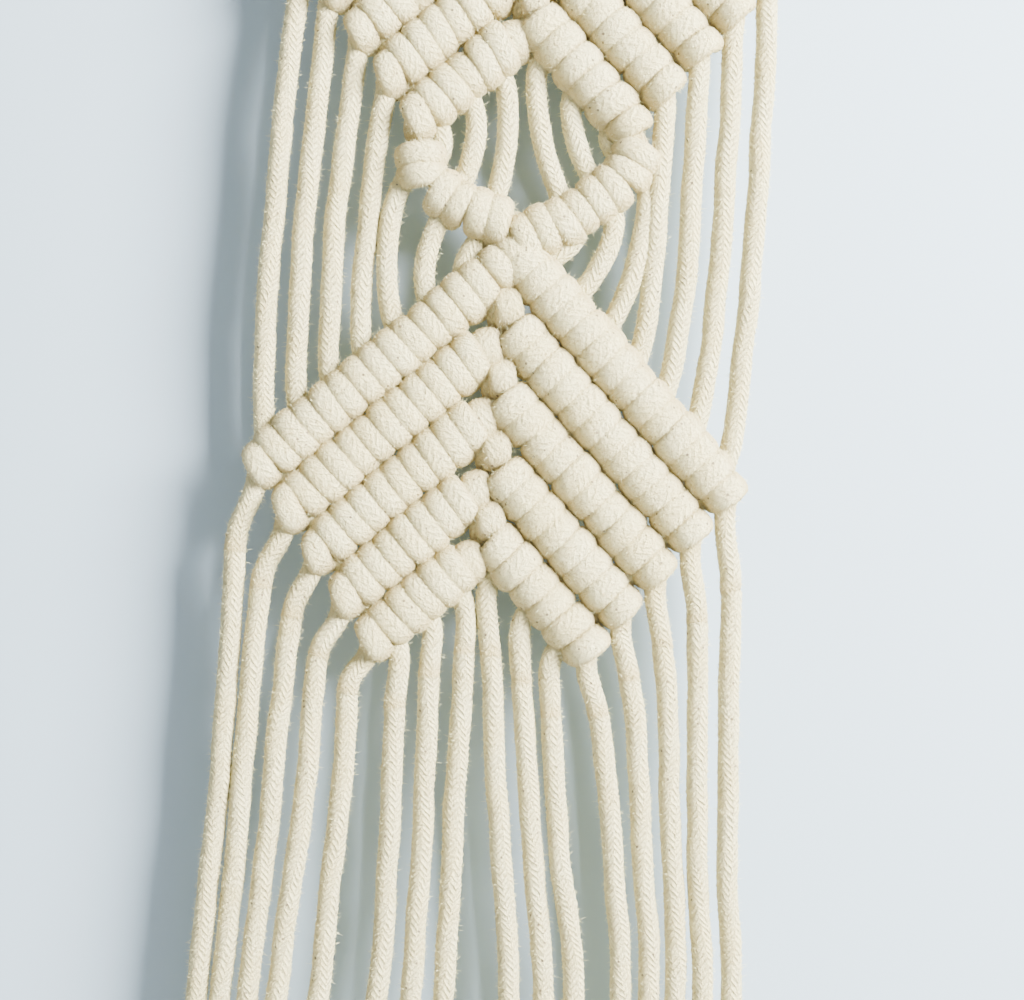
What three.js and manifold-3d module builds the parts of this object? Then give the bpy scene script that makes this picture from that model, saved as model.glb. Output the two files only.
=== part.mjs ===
// Knotted cotton wall hanging on a wooden dowel, in millimetres, +Z up.
// Eight braided cords are folded in half over the dowel and tied into two chevrons of double half hitches
// with an open diamond between them. The front faces -Y. The origin is the middle of the dowel.
import * as THREE from 'three';
import { mergeVertices } from 'three/addons/utils/BufferGeometryUtils.js';
import Module from 'manifold-3d';

const wasm = await Module();
wasm.setup();

// Driving dimensions
const CORD_COUNT = 8;
const CORD_DIAMETER = 5;
const GAP = 0.3;                        // clearance between pieces that touch on the real object
const SLOT_PITCH = 7.27;                // sideways distance between neighbouring strands
const ROW_SLOPE = 44;                   // degrees that a chevron's rows fall from the middle outwards
const ROW_PITCH = 16.4;                 // distance between rows down the middle
const ROW_KNOTS = [7, 6, 5, 4, 3];      // knots on each side of the chevron's rows, top to bottom
const DIAMOND_KNOTS = 3;                // knots on each lower side of the diamond
const DIAMOND_SLOPE = 32.5;             // degrees that the diamond's lower sides rise outwards
const DIAMOND_PITCH = 9.4;              // distance between the knots on those sides
const DIAMOND_START = 1.1;              // from where those sides meet to their first knot, in knots
const DIAMOND_OVERHANG = 0.6;           // past the middle of their last knot, in knots
const DIAMOND_RISE = 4.3;               // where those sides meet, above the next chevron's point
const FIRST_POINT = 34;                 // from the dowel's axis down to the first chevron's point
const CHEVRON_PERIOD = 120;
const KNOT_HEIGHT = 11.4;               // across a knot, at right angles to its row
const DIAMOND_HEIGHT = 9.4;
const CROSSING_HEIGHT = 9.2;            // across the knot in the middle of a row
const MIDDLE_SHIFT = 0.6;               // that keeps a row's first left and right knots apart
const PACKED_DIAMETER = 3;              // of a cord squeezed inside the knots
const LEAD_OVERHANG = 1;                // of a carrying cord, past the knots at the ends of its row
const TUBE_STEP = 14;                   // longest straight piece of a bending cord
const DOWEL_DIAMETER = 15;
const DOWEL_LENGTH = 164;
const DOWEL_CHAMFER = 1;

// Each free end hangs through these points: sideways place, then depth below the lower chevron's point.
const FRINGE_ROUTES = [
  [[-57.2, 72], [-56.6, 92], [-56.4, 133], [-57.6, 175], [-58.4, 218]],
  [[-50.6, 80], [-51.0, 95], [-51.2, 133], [-51.9, 175], [-52.6, 222]],
  [[-42.9, 86], [-43.7, 100], [-44.2, 133], [-45.6, 175], [-46.4, 216]],
  [[-36.0, 95], [-36.2, 106], [-36.9, 133], [-39.2, 174], [-40.2, 220]],
  [[-28.6, 102], [-28.4, 112], [-28.4, 133], [-29.6, 174], [-31.8, 217]],
  [[-17.6, 105], [-17.0, 118], [-16.2, 134], [-15.8, 172], [-17.6, 221]],
  [[-10.2, 97], [-9.4, 110], [-8.8, 132], [-8.2, 172], [-9.8, 216]],
  [[-2.6, 91], [-2.2, 105], [-1.8, 130], [-0.6, 171], [-1.8, 219]],
  [[3.6, 91], [5.4, 105], [9.0, 132], [14.8, 171], [15.4, 220]],
  [[11.4, 97], [13.2, 110], [16.6, 132], [22.2, 170], [23.6, 217]],
  [[18.6, 104], [20.0, 115], [23.6, 136], [29.4, 169], [31.6, 221]],
  [[29.6, 103], [32.2, 114], [35.6, 136], [40.2, 168], [40.8, 216]],
  [[36.0, 94], [38.4, 105], [42.2, 133], [46.6, 168], [47.4, 222]],
  [[43.0, 86], [45.0, 98], [48.6, 130], [52.8, 167], [53.8, 218]],
  [[50.4, 80], [51.8, 95], [54.6, 130], [58.8, 166], [60.2, 221]],
  [[57.4, 72], [58.8, 90], [61.6, 130], [65.2, 165], [66.4, 217]],
];

// Values worked out from the driving dimensions
const STRAND_COUNT = 2 * CORD_COUNT;
const HALF = STRAND_COUNT / 2;
const CORD_RADIUS = CORD_DIAMETER / 2;
const DOWEL_RADIUS = DOWEL_DIAMETER / 2;
const KNOT_LENGTH = SLOT_PITCH / Math.cos(THREE.MathUtils.degToRad(ROW_SLOPE));
const KNOT_BORE = PACKED_DIAMETER / 2 + GAP;
const UPPER_POINT = -FIRST_POINT;
const LOWER_POINT = UPPER_POINT - CHEVRON_PERIOD;

const cotton = (shade) => new THREE.MeshStandardMaterial({
  color: new THREE.Color(0.84 * shade, 0.79 * shade, 0.68 * shade),
  roughness: 0.95,
  metalness: 0,
});

function solidFrom(geometry) {
  const plain = geometry.clone();
  plain.deleteAttribute('normal');
  plain.deleteAttribute('uv');
  const merged = mergeVertices(plain, 1e-4);
  return new wasm.Manifold(new wasm.Mesh({
    numProp: 3,
    vertProperties: new Float32Array(merged.attributes.position.array),
    triVerts: new Uint32Array(merged.index.array),
  }));
}

function joined(solids) {
  const mesh = solids.reduce((whole, solid) => whole.add(solid)).getMesh();
  const geometry = new THREE.BufferGeometry();
  geometry.setAttribute('position', new THREE.BufferAttribute(new Float32Array(mesh.vertProperties), 3));
  geometry.setIndex(new THREE.BufferAttribute(new Uint32Array(mesh.triVerts), 1));
  return geometry;
}

// A regular outline whose flat-to-flat size is the diameter, with a flat side up.
function polygon(diameter, sides) {
  const radius = diameter / 2 / Math.cos(Math.PI / sides);
  return Array.from({ length: sides }, (_, i) => {
    const turn = (i + 0.5) * 2 * Math.PI / sides;
    return new THREE.Vector2(radius * Math.cos(turn), radius * Math.sin(turn));
  });
}

const inPlane = ([x, z]) => new THREE.Vector3(x, 0, z);

function tube(points, diameter, sides = 8) {
  const straight = points.length === 2;
  const path = straight
    ? new THREE.LineCurve3(inPlane(points[0]), inPlane(points[1]))
    : new THREE.CatmullRomCurve3(points.map(inPlane), false, 'centripetal');
  const steps = straight ? 1 : Math.max(points.length, Math.ceil(path.getLength() / TUBE_STEP));
  return new THREE.ExtrudeGeometry(new THREE.Shape(polygon(diameter, sides)), { extrudePath: path, steps });
}

// A ring around an axis in the XZ plane.
function ring([x, z], [ax, az], outer, bore, length, sides, boreSides) {
  const section = new THREE.Shape(polygon(outer, sides));
  section.holes.push(new THREE.Path(polygon(bore, boreSides)));
  const geometry = new THREE.ExtrudeGeometry(section, { depth: length, bevelEnabled: false });
  geometry.translate(0, 0, -length / 2);
  const across = new THREE.Vector3(az, 0, -ax);
  const depth = new THREE.Vector3(ax, 0, az).cross(across);
  const frame = new THREE.Matrix4().makeBasis(across, depth, new THREE.Vector3(ax, 0, az));
  geometry.applyMatrix4(frame.setPosition(x, 0, z));
  return geometry;
}

// Where a strand joins its knot, from the knot's axis.
const wallMiddle = (height) => (height / 2 + KNOT_BORE) / 2;

const move = ([x, z], [dx, dz], distance) => [x + dx * distance, z + dz * distance];

// The direction of a row on one side, pointing outwards; side is -1 on the left and 1 on the right.
function rowDirection(side, slope) {
  const angle = THREE.MathUtils.degToRad(slope);
  return [side * Math.cos(angle), -Math.sin(angle)];
}

// The direction in which strands cross a row: at right angles to it, downwards.
const crossDirection = ([ux, uz]) => (ux > 0 ? [uz, -ux] : [-uz, ux]);

// A strand's route is a list of steps: knots that it ties, and passes through other strands' knots.
const routes = Array.from({ length: STRAND_COUNT }, () => []);

function tieKnot(strand, centre, along, height = KNOT_HEIGHT, length = KNOT_LENGTH) {
  const down = crossDirection(along);
  const core = wallMiddle(height);
  routes[strand].push({
    solids: [ring(centre, along, height, 2 * KNOT_BORE, length - GAP, 8, 4)],
    start: move(centre, down, -core),
    end: move(centre, down, core),
    startDirection: down,
    endDirection: down,
    surface: height / 2 - core,
  });
}

function passThrough(strand, from, to, direction) {
  routes[strand].push({
    solids: [tube([from, to], PACKED_DIAMETER)],
    start: from,
    end: to,
    startDirection: direction,
    endDirection: direction,
    surface: 0,
  });
}

// One row of a chevron. The two middle strands cross and run outwards, and the others tie onto them.
function tieRow(left, right, point, knots, crossingSide) {
  const leads = { left: right[0], right: left[HALF - 1] };
  const knotters = { left: left.slice(0, HALF - 1).reverse(), right: right.slice(1) };
  for (const [name, side] of [['left', -1], ['right', 1]]) {
    const along = rowDirection(side, ROW_SLOPE);
    const carriesCrossing = name === crossingSide;
    const reach = carriesCrossing ? -KNOT_LENGTH / 2 - LEAD_OVERHANG : wallMiddle(CROSSING_HEIGHT);
    if (!carriesCrossing) {
      const other = rowDirection(-side, ROW_SLOPE);
      tieKnot(leads[name], point, other, CROSSING_HEIGHT);
    }
    const rowEnd = (knots + 0.5) * KNOT_LENGTH + MIDDLE_SHIFT + LEAD_OVERHANG;
    passThrough(leads[name], move(point, along, reach), move(point, along, rowEnd), along);
    for (let j = 1; j <= knots; j += 1) {
      tieKnot(knotters[name][j - 1], move(point, along, j * KNOT_LENGTH + MIDDLE_SHIFT), along);
    }
  }
  const keep = HALF - 1 - knots;
  return [
    [...left.slice(0, keep), leads.left, ...left.slice(keep, HALF - 1)],
    [...right.slice(1, 1 + knots), leads.right, ...right.slice(1 + knots)],
  ];
}

// The lower sides of the diamond: the last row's leads turn back and run down to the middle.
function tieDiamond(left, right, point) {
  const keep = HALF - 1 - DIAMOND_KNOTS;
  const sides = [
    [left[keep], left.slice(keep + 1).reverse(), -1],
    [right[DIAMOND_KNOTS], right.slice(0, DIAMOND_KNOTS), 1],
  ];
  for (const [lead, knotters, side] of sides) {
    const outwards = rowDirection(side, -DIAMOND_SLOPE);
    const inwards = [-outwards[0], -outwards[1]];
    const outer = move(point, outwards, (DIAMOND_KNOTS + DIAMOND_OVERHANG) * DIAMOND_PITCH + CORD_RADIUS);
    passThrough(lead, outer, move(point, outwards, DIAMOND_PITCH / 2), inwards);
    knotters.forEach((strand, i) => {
      const centre = move(point, outwards, (i + DIAMOND_START) * DIAMOND_PITCH);
      tieKnot(strand, centre, inwards, DIAMOND_HEIGHT, DIAMOND_PITCH);
    });
  }
  return [
    [...left.slice(0, keep), ...left.slice(keep + 1), left[keep]],
    [right[DIAMOND_KNOTS], ...right.slice(0, DIAMOND_KNOTS), ...right.slice(DIAMOND_KNOTS + 1)],
  ];
}

// The stretch of cord between two steps of a route, eased in and out of their directions.
function link(from, to) {
  const distance = Math.hypot(to.start[0] - from.end[0], to.start[1] - from.end[1]);
  if (distance < GAP) {
    return [];
  }
  if (distance < KNOT_HEIGHT) {
    return [tube([from.end, to.start], PACKED_DIAMETER, 4)];
  }
  const ease = CORD_RADIUS;
  const points = [
    from.end,
    move(from.end, from.endDirection, ease),
    move(to.start, to.startDirection, -ease),
    to.start,
  ];
  return [tube(points, distance < 3 * CORD_DIAMETER ? PACKED_DIAMETER : CORD_DIAMETER)];
}

function tieWholeHanging() {
  const strands = Array.from({ length: STRAND_COUNT }, (_, i) => i);
  let left = strands.slice(0, HALF);
  let right = strands.slice(HALF);
  strands.forEach((strand) => {
    const x = (strand - HALF + 0.5) * SLOT_PITCH;
    const start = [x, -DOWEL_RADIUS - GAP - CORD_RADIUS];
    routes[strand].push({ solids: [], end: start, endDirection: [0, -1], surface: 0 });
  });
  for (const top of [UPPER_POINT, LOWER_POINT]) {
    ROW_KNOTS.forEach((knots, row) => {
      const point = [0, top - row * ROW_PITCH];
      [left, right] = tieRow(left, right, point, knots, row === 0 ? 'left' : 'right');
    });
    if (top === UPPER_POINT) {
      [left, right] = tieDiamond(left, right, [0, LOWER_POINT + DIAMOND_RISE]);
    }
  }
  return [...left, ...right];
}

// The loop with which a folded cord grips the dowel.
function dowelLoop(cord) {
  const x = (2 * cord - HALF + 1) * SLOT_PITCH;
  const bore = DOWEL_DIAMETER + 2 * GAP;
  return ring([x, 0], [1, 0], bore + 2 * CORD_DIAMETER, bore, 2 * SLOT_PITCH - GAP, 16, 16);
}

function foldedCord(cord) {
  const solids = [dowelLoop(cord)];
  for (const strand of [2 * cord, 2 * cord + 1]) {
    const steps = routes[strand];
    steps.forEach((step, i) => {
      solids.push(...step.solids);
      if (i > 0) {
        solids.push(...link(steps[i - 1], step));
      }
    });
  }
  return joined(solids.map(solidFrom));
}

function fringeStrand(strand, route) {
  const last = routes[strand].at(-1);
  const start = move(last.end, last.endDirection, last.surface + GAP);
  const points = [
    start,
    move(start, last.endDirection, CORD_RADIUS),
    ...route.map(([x, depth]) => [x, LOWER_POINT - depth]),
  ];
  return tube(points, CORD_DIAMETER);
}

function dowel() {
  const end = DOWEL_LENGTH / 2;
  const profile = [
    [0, -end], [DOWEL_RADIUS - DOWEL_CHAMFER, -end], [DOWEL_RADIUS, -end + DOWEL_CHAMFER],
    [DOWEL_RADIUS, end - DOWEL_CHAMFER], [DOWEL_RADIUS - DOWEL_CHAMFER, end], [0, end],
  ].map(([radius, along]) => new THREE.Vector2(radius, along));
  return new THREE.LatheGeometry(profile, 32);
}

function addPiece(group, name, geometry, material) {
  const mesh = new THREE.Mesh(geometry, material);
  mesh.name = name;
  group.add(mesh);
  return mesh;
}

const hanging = new THREE.Group();
const wood = new THREE.MeshStandardMaterial({
  color: new THREE.Color(0.62, 0.44, 0.26),
  roughness: 0.6,
  metalness: 0,
});
addPiece(hanging, 'dowel', dowel(), wood).rotation.z = Math.PI / 2;

const fringeOrder = tieWholeHanging();
for (let cord = 0; cord < CORD_COUNT; cord += 1) {
  addPiece(hanging, `cord_${cord + 1}`, foldedCord(cord), cotton(1 - 0.02 * (cord % 3)));
}
fringeOrder.forEach((strand, place) => {
  addPiece(hanging, `fringe_${place + 1}`, fringeStrand(strand, FRINGE_ROUTES[place]), cotton(1));
});

export default hanging;
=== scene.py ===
"""A knotted cotton wall hanging on a wooden dowel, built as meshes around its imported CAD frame."""

import math
from typing import NamedTuple

import bpy
import numpy as np
from bpy.props import FloatProperty, FloatVectorProperty, IntProperty, PointerProperty
from mathutils import Matrix, Vector


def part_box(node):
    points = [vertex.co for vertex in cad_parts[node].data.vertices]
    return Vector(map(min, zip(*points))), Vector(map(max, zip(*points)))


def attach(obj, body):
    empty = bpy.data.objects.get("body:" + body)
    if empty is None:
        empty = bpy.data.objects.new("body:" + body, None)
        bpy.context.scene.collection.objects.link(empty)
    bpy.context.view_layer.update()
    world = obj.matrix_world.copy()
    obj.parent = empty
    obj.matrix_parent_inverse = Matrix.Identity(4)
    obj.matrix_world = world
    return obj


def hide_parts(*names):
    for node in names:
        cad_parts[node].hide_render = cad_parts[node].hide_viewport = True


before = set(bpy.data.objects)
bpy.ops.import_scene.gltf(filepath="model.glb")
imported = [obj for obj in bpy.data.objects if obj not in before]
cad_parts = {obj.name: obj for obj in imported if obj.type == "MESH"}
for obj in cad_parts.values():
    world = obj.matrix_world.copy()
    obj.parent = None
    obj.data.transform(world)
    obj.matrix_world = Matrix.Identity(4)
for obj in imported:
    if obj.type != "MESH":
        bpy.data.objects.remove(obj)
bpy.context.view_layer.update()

bl_info = {
    "name": "Knotted wall hanging",
    "version": (1, 0, 0),
    "blender": (4, 5, 0),
    "location": "3D View > Sidebar > Wall hanging",
    "description": "Ties a cotton wall hanging of double half hitches on a dowel",
    "category": "Add Mesh",
}

MM = 0.001

# How the hanging is tied, in millimetres and degrees, as its CAD frame has it
CORD_COUNT = 8
STRAND_COUNT = 2 * CORD_COUNT
HALF = STRAND_COUNT // 2
SLOT_PITCH = 7.27
ROW_SLOPE = 44
ROW_PITCH = 16.4
ROW_KNOTS = (7, 6, 5, 4, 3)
DIAMOND_KNOTS = 3
DIAMOND_SLOPE = 32.5
DIAMOND_PITCH = 9.6
# The diamond's knots, from the middle outwards: sideways place, height over the lower point, slope
DIAMOND_LEFT = ((-5.3, 9.8, 16), (-14.2, 13.2, 28), (-21.6, 20.2, 76))
DIAMOND_RIGHT = ((13.6, 11.4, 37), (20.8, 17.4, 40), (26.6, 24.6, 68))
DIAMOND_CROSSING = (5.6, 6.8)
FIRST_POINT = 34
CHEVRON_PERIOD = 120
KNOT_HEIGHT = 12.9
DIAMOND_HEIGHT = 12.2
CROSSING_HEIGHT = 10.2
CROSSING_LENGTH = 8.4
CROSSING_SLOPE = 14
CROSSING_SHIFT = -1.0
CROSSING_DROPS = (-5.4, 3.6)
MIDDLE_SHIFT = 0.6
KNOT_LENGTH = SLOT_PITCH / math.cos(math.radians(ROW_SLOPE))
UPPER_POINT = -FIRST_POINT
LOWER_POINT = UPPER_POINT - CHEVRON_PERIOD
DOWEL_LOW, DOWEL_HIGH = (np.array(corner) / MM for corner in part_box("dowel"))
DOWEL_RADIUS = (DOWEL_HIGH[2] - DOWEL_LOW[2]) / 2

# Each free end hangs through these points: sideways place and depth below the lower point, in turn
FRINGE_ROUTES = (
    (-57.2, 72, -56.6, 92, -56.4, 133, -57.6, 175, -58.4, 218),
    (-50.6, 80, -51.0, 95, -51.2, 133, -51.9, 175, -52.6, 222),
    (-42.9, 86, -43.7, 100, -44.2, 133, -45.6, 175, -46.4, 216),
    (-36.0, 95, -36.2, 106, -36.9, 133, -39.2, 174, -40.2, 220),
    (-28.6, 102, -28.4, 112, -28.4, 133, -29.6, 174, -31.8, 217),
    (-17.6, 105, -17.0, 118, -16.2, 134, -15.8, 172, -17.6, 221),
    (-10.2, 97, -9.4, 110, -8.8, 132, -8.2, 172, -9.8, 216),
    (-2.6, 91, -2.2, 105, -1.8, 130, -0.6, 171, -1.8, 219),
    (3.6, 91, 5.4, 105, 9.0, 132, 14.8, 171, 15.4, 220),
    (11.4, 97, 13.2, 110, 16.6, 132, 22.2, 170, 23.6, 217),
    (18.6, 104, 20.0, 115, 23.6, 136, 29.4, 169, 31.6, 221),
    (29.6, 103, 32.2, 114, 35.6, 136, 40.2, 168, 40.8, 216),
    (36.0, 94, 38.4, 105, 42.2, 133, 46.6, 168, 47.4, 222),
    (43.0, 86, 45.0, 98, 48.6, 130, 52.8, 167, 53.8, 218),
    (50.4, 80, 51.8, 95, 54.6, 130, 58.8, 166, 60.2, 221),
    (57.4, 72, 58.8, 90, 61.6, 130, 65.2, 165, 66.4, 217),
)

# How the knots lie, for the left (-1) and right (1) sides, in millimetres and radians
ROW_OFFSET = {-1: np.array([0.7, 0.0, 0.6]), 1: np.array([0.6, 0.0, 2.9])}
ROW_START = {-1: 2.0, 1: -2.4}
ROW_STAGGER = 0.8
FULLNESS = {-1: 1.28, 1: 1.3}
LAST_WRAP_TURN = {-1: 0.3, 1: 0.0}
LAST_WRAP_SHIFT = 0.5
TURN_DOWN = 3.4
ROW_OVERRUN = 0.22 * KNOT_LENGTH
DIAMOND_OVERRUN = 0.55 * DIAMOND_PITCH
CARRIED_RADIUS = 1.7
CARRIED_SWELL = 0.8

# One double half hitch, in degrees round its carrying cord, millimetres and shares of a size
HITCH_START, HITCH_END = 160, 920
HITCH_SAMPLES = 110
INNER_REACH, OUTER_REACH = 0.20, 0.40
FRONT_FLATNESS = 0.84
WIDEST_WRAP = 1.4
LAST_WRAP_WIDE = 1.28
TUCKED_WIDE, TUCKED_THICK = 1.8, 1.5
SIDE_WIDE = 2.0
UNEVEN_SIZE, UNEVEN_LEAN, UNEVEN_WRAP_LEAN = 0.04, 0.06, 0.05

# The plaited surface and its loose fibres
BRAID_LEAN = 1.3
FREE_SWAY = 0.32
LONGEST_FUZZ = 1.9
# Painted shade between wraps darkens cord surface that lies nearer than this to the hanging's middle plane;
# on the back, the next value is first added to that distance
SEAM_SHADE_DEPTH = 5.4
BACK_LOWER = 2.4
FUZZ_RADIUS = 0.055
FRAYED_COUNT = 170
FRAYED_RADIUS = 0.16

# The stage, in metres, and its soft lights: name, place, size, watts and colour
FLOOR_HEIGHT = -1.0
WALL_SIZE = (1.6, 1.4)
LIGHTS = (
    ("key_light", (0.62, -0.46, 0.15), (0.45, 0.45), 82, (1.0, 0.985, 0.965)),
    ("fill_light", (-1.3, -1.3, 0.1), (1.4, 1.4), 4, (0.93, 0.96, 1.0)),
    ("back_light", (0.2, 1.6, 0.6), (1.6, 1.2), 34, (1, 1, 1)),
)
LIT_POINT = (0, 0, -0.2)
VIEW_CENTRE = (5.5, LOWER_POINT - 54.6)
HUSK_BROWN = (0.16, 0.11, 0.06, 1)
FIBRE_BROWN = (0.30, 0.22, 0.13, 1)

BACK = np.array([0.0, 1.0, 0.0])
DOWN = np.array([0.0, 0.0, -1.0])


def in_plane(x, z):
    return np.array([x, 0.0, z])


def unit(vectors):
    lengths = np.linalg.norm(vectors, axis=-1, keepdims=True)
    return vectors / np.maximum(lengths, 1e-9)


def smooth(t):
    t = np.clip(t, 0, 1)
    return t * t * (3 - 2 * t)


def row_direction(side, slope):
    """The direction of a row on one side (-1 left, 1 right), pointing outwards."""
    angle = math.radians(slope)
    return in_plane(side * math.cos(angle), -math.sin(angle))


def cross_direction(along):
    """The direction in which strands cross a row: at right angles to it, downwards."""
    across = in_plane(along[2], -along[0])
    return across if along[0] > 0 else -across


# --- the way each strand runs


class Stretch:
    """Points along a cord, with its half width, half thickness and the direction of its thickness."""

    values = ("points", "wide", "thick", "normals", "tight")

    def __init__(self, points, wide, thick, normals, tight):
        count = len(points)
        self.points = np.asarray(points, float)
        self.wide = np.broadcast_to(wide, count).astype(float)
        self.thick = np.broadcast_to(thick, count).astype(float)
        self.normals = np.broadcast_to(normals, (count, 3)).astype(float)
        self.tight = np.broadcast_to(tight, count).astype(float)


def join_stretches(stretches):
    return Stretch(*(np.concatenate([getattr(s, name) for s in stretches]) for name in Stretch.values))


def turned_round(stretch):
    return Stretch(*(getattr(stretch, name)[::-1] for name in Stretch.values))


def keyed(turns, keys):
    """A value that eases through (degrees, value) keys."""
    result = np.full(len(turns), float(keys[0][1]))
    for (t0, v0), (t1, v1) in zip(keys, keys[1:]):
        result += (v1 - v0) * smooth((turns - t0) / (t1 - t0))
    return result


class HitchShape(NamedTuple):
    """What sets one double half hitch apart from another."""

    height: float
    length: float
    fullness: float = 1.25       # how far neighbouring wraps press into each other
    last_turn: float = None      # how far the last wrap of a row is turned, or None inside a row
    drops: tuple = (0.0, 0.0)    # how far the first and second wraps hang below the carrying cord


def last_wrap(place, sideways, quarter, last_turn, held):
    """Narrows the last wrap of a row and turns it, as its strand pulls it down."""
    sideways = sideways * (1 - 0.16 * held)
    swing = last_turn * held
    middle = quarter + 0.5
    return (
        middle + (place - middle) * np.cos(swing) + sideways * np.sin(swing) + LAST_WRAP_SHIFT * held,
        -(place - middle) * np.sin(swing) + sideways * np.cos(swing),
    )


def hitch_sizes(turns, full, end_full, front_thick):
    """The half width and half thickness of a hitch's cord: pressed flat in front, tucked in behind."""
    wide = keyed(turns, (
        (HITCH_START, TUCKED_WIDE), (262, full), (460, full), (520, SIDE_WIDE),
        (580, SIDE_WIDE), (626, end_full), (820, end_full), (HITCH_END, TUCKED_WIDE),
    ))
    thick = keyed(turns, (
        (HITCH_START, TUCKED_THICK), (270, front_thick), (820, front_thick), (HITCH_END, TUCKED_THICK),
    ))
    return wide, thick


def hitch(centre, along, shape, cord_radius, rng):
    """A double half hitch: down behind the carrying cord, twice round it, and out at the bottom."""
    turns = np.linspace(HITCH_START, HITCH_END, HITCH_SAMPLES)
    sin, cos = np.sin(np.radians(turns)), np.cos(np.radians(turns))
    first, second = smooth((520 - turns) / 60), smooth((turns - 580) / 60)
    uneven = rng.normal(0, 1, 5)
    quarter = shape.length / 4
    front_thick = FRONT_FLATNESS * cord_radius
    front = shape.height / 2 - front_thick
    inner, outer = INNER_REACH * shape.height, OUTER_REACH * shape.height
    radius = keyed(turns, (
        (HITCH_START, inner), (285, front), (445, front), (505, outer),
        (590, outer), (650, front), (800, front), (HITCH_END, inner),
    ))
    radius *= 1 + UNEVEN_SIZE * (uneven[0] * first + uneven[1] * second)
    sideways = -sin * radius
    forward = -cos * radius
    place = keyed(turns, (
        (HITCH_START, 0), (300, -quarter), (430, -quarter),
        (660, quarter), (790, quarter), (HITCH_END, 0),
    ))
    place = place * (1 - 0.05 * np.abs(sin))
    lean = UNEVEN_LEAN * uneven[2] + UNEVEN_WRAP_LEAN * (uneven[3] * first + uneven[4] * second)
    place = place - sideways * lean * smooth((cos + 0.5) / 0.7)
    full = end_full = min(shape.fullness * quarter, WIDEST_WRAP * cord_radius)
    if shape.last_turn is not None:
        held = second * smooth((940 - turns) / 90)
        place, sideways = last_wrap(place, sideways, quarter, shape.last_turn, held)
        end_full = LAST_WRAP_WIDE * cord_radius
    down = cross_direction(along)
    radial = -sin[:, None] * down - cos[:, None] * BACK
    points = centre + place[:, None] * along + sideways[:, None] * down + forward[:, None] * BACK
    high, low = shape.drops
    drop = keyed(turns, (
        (HITCH_START, 0), (280, high), (450, high), (640, low), (800, low), (HITCH_END, 0),
    ))
    wide, thick = hitch_sizes(turns, full, end_full, front_thick)
    return Stretch(points + DOWN * drop[:, None], wide, thick, radial, 1.0)


def between(start, end, share):
    return start + (end - start) * share


def carried(start, end):
    """A cord that runs straight through other cords' knots, and fills out as it leaves them."""
    t = np.linspace(0, 1, 90)[:, None]
    left = (1 - t[:, 0]) * float(np.linalg.norm(end - start))
    full = CARRIED_RADIUS + CARRIED_SWELL * smooth(1 - left / 4)
    return Stretch(between(start, end, t), full, full, BACK, 1.0)


def turned_down(start, along, cord_radius):
    """A carrying cord bending down out of its row."""
    first = math.atan2(-along[2], abs(along[0]))
    bend = np.linspace(first, math.pi / 2, 16)
    outwards = math.copysign(TURN_DOWN, along[0]) * (np.sin(bend) - math.sin(first))
    fall = TURN_DOWN * (math.cos(first) - np.cos(bend))
    points = start + np.stack([outwards, 0 * bend, -fall], 1)
    return Stretch(points, cord_radius, cord_radius, BACK, 0.7)


def eased(first, last, cord_radius):
    """The stretch between two others, leaving and arriving in their directions."""
    a, b = first.points[-1], last.points[0]
    distance = float(np.linalg.norm(b - a))
    if distance < 0.4:
        return None
    samples = max(5, int(distance / 0.5))
    share = np.linspace(0, 1, samples + 2)[1:-1]
    t = share[:, None]
    hold = min(0.45 * distance, 9.0)
    p1 = a + unit(a - first.points[-2]) * hold
    p2 = b - unit(last.points[1] - b) * hold
    points = (1 - t) ** 3 * a + 3 * (1 - t) ** 2 * t * p1 + 3 * (1 - t) * t ** 2 * p2 + t ** 3 * b
    along = share * distance
    free = smooth(along / 5) * smooth((distance - along) / 5) if distance > 9 else np.zeros(samples)
    wide = between(between(first.wide[-1], last.wide[0], share), cord_radius, free)
    thick = between(between(first.thick[-1], last.thick[0], share), cord_radius, free)
    return Stretch(points, wide, thick, BACK, 1 - free)


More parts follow.
